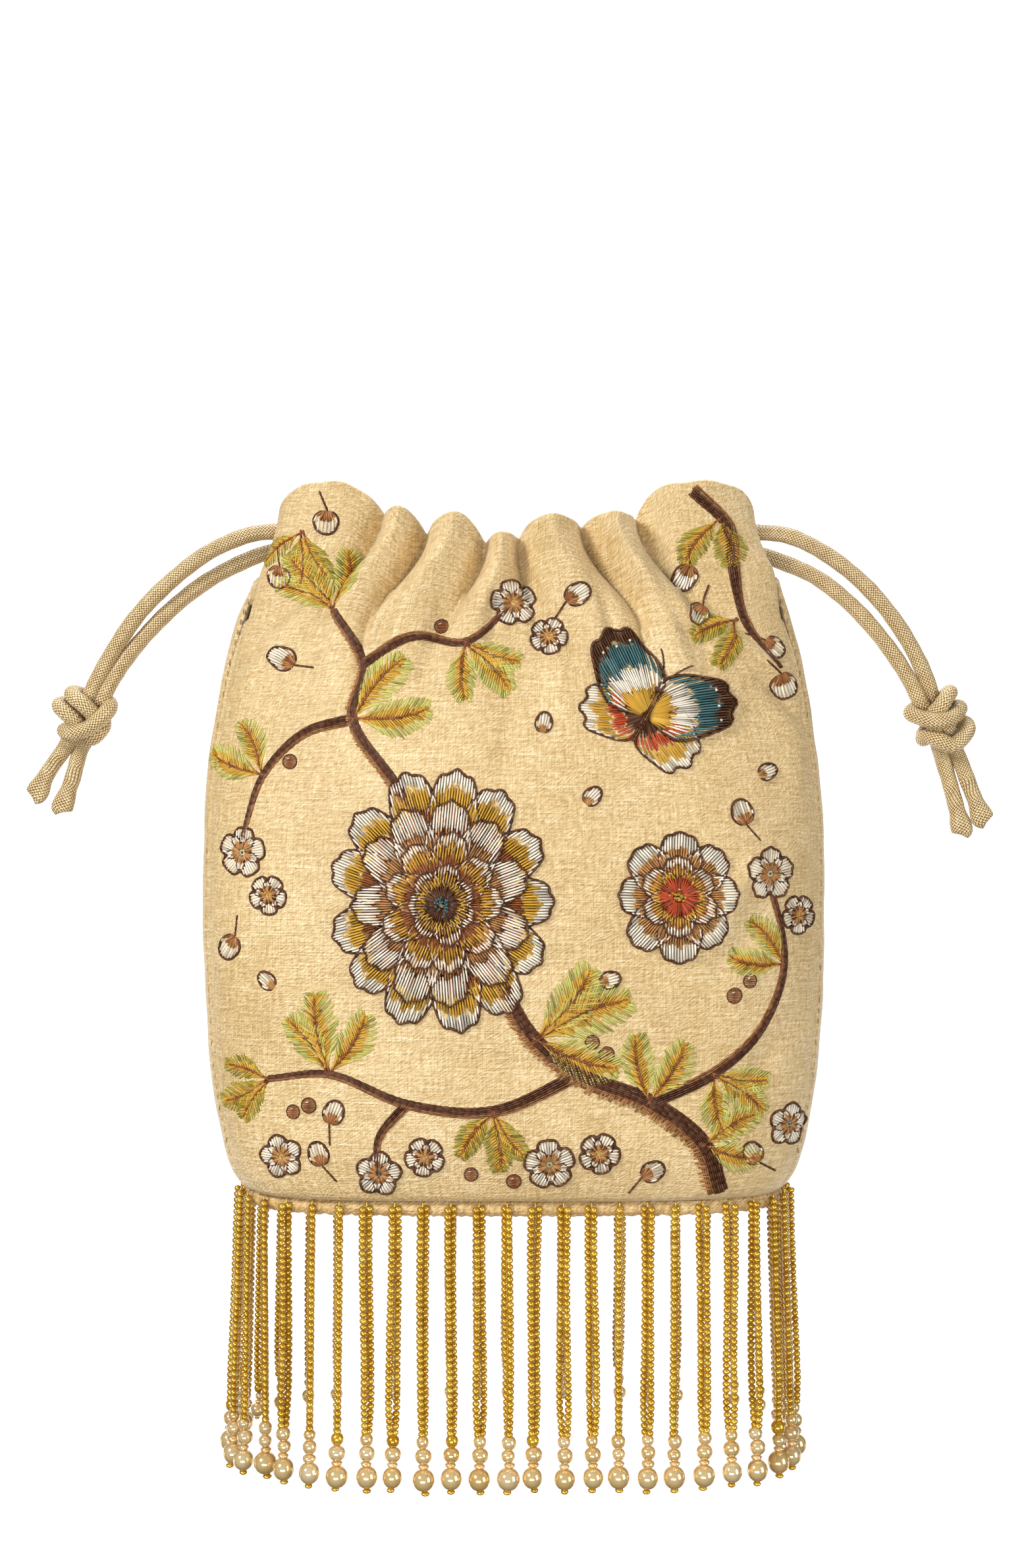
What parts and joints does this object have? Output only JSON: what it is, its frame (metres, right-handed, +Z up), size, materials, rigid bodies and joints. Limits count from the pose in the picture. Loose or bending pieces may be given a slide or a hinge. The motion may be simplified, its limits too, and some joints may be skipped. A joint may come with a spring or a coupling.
{
  "type": "drawstring wristlet",
  "caption": "Small gathered silk drawstring pouch hung from the hand, with embroidered front, knotted drawcords and a beaded fringe round its base.",
  "frame": {"origin": "middle of the gathered mouth, at the level where the drawcords leave the casing and by which the pouch hangs", "axes": "+Z up out of the mouth, +X towards the drawcord on the right as the embroidered front is seen, -Y out of the front"},
  "size_m": [0.2948, 0.0944, 0.2899],
  "materials": {
    "silk": "satin woven silk, pale gold",
    "piping_silk": "satin woven silk over a cord",
    "waxed_cord": "braided and waxed",
    "gold_beads": "polished gold and champagne beads"
  },
  "bodies": {
    "root": {"front_panel": "silk", "back_panel": "silk", "base_panel": "silk", "base_piping": "piping_silk", "drawcord_left": "waxed_cord", "drawcord_right": "waxed_cord", "bead_strand_01": "gold_beads", "bead_strand_02": "gold_beads", "bead_strand_03": "gold_beads", "bead_strand_04": "gold_beads", "bead_strand_05": "gold_beads", "bead_strand_06": "gold_beads", "bead_strand_07": "gold_beads", "bead_strand_08": "gold_beads", "bead_strand_09": "gold_beads", "bead_strand_10": "gold_beads", "bead_strand_11": "gold_beads", "bead_strand_12": "gold_beads", "bead_strand_13": "gold_beads", "bead_strand_14": "gold_beads", "bead_strand_15": "gold_beads", "bead_strand_16": "gold_beads", "bead_strand_17": "gold_beads", "bead_strand_18": "gold_beads", "bead_strand_19": "gold_beads", "bead_strand_20": "gold_beads", "bead_strand_21": "gold_beads", "bead_strand_22": "gold_beads", "bead_strand_23": "gold_beads", "bead_strand_24": "gold_beads", "bead_strand_25": "gold_beads", "bead_strand_26": "gold_beads", "bead_strand_27": "gold_beads", "bead_strand_28": "gold_beads", "bead_strand_29": "gold_beads", "bead_strand_30": "gold_beads", "bead_strand_31": "gold_beads", "bead_strand_32": "gold_beads", "bead_strand_33": "gold_beads", "bead_strand_34": "gold_beads", "bead_strand_35": "gold_beads", "bead_strand_36": "gold_beads", "bead_strand_37": "gold_beads", "bead_strand_38": "gold_beads", "bead_strand_39": "gold_beads", "bead_strand_40": "gold_beads", "bead_strand_41": "gold_beads", "bead_strand_42": "gold_beads", "bead_strand_43": "gold_beads", "bead_strand_44": "gold_beads", "bead_strand_45": "gold_beads", "bead_strand_46": "gold_beads", "bead_strand_47": "gold_beads", "bead_strand_48": "gold_beads", "bead_strand_49": "gold_beads"}
  },
  "joints": []
}
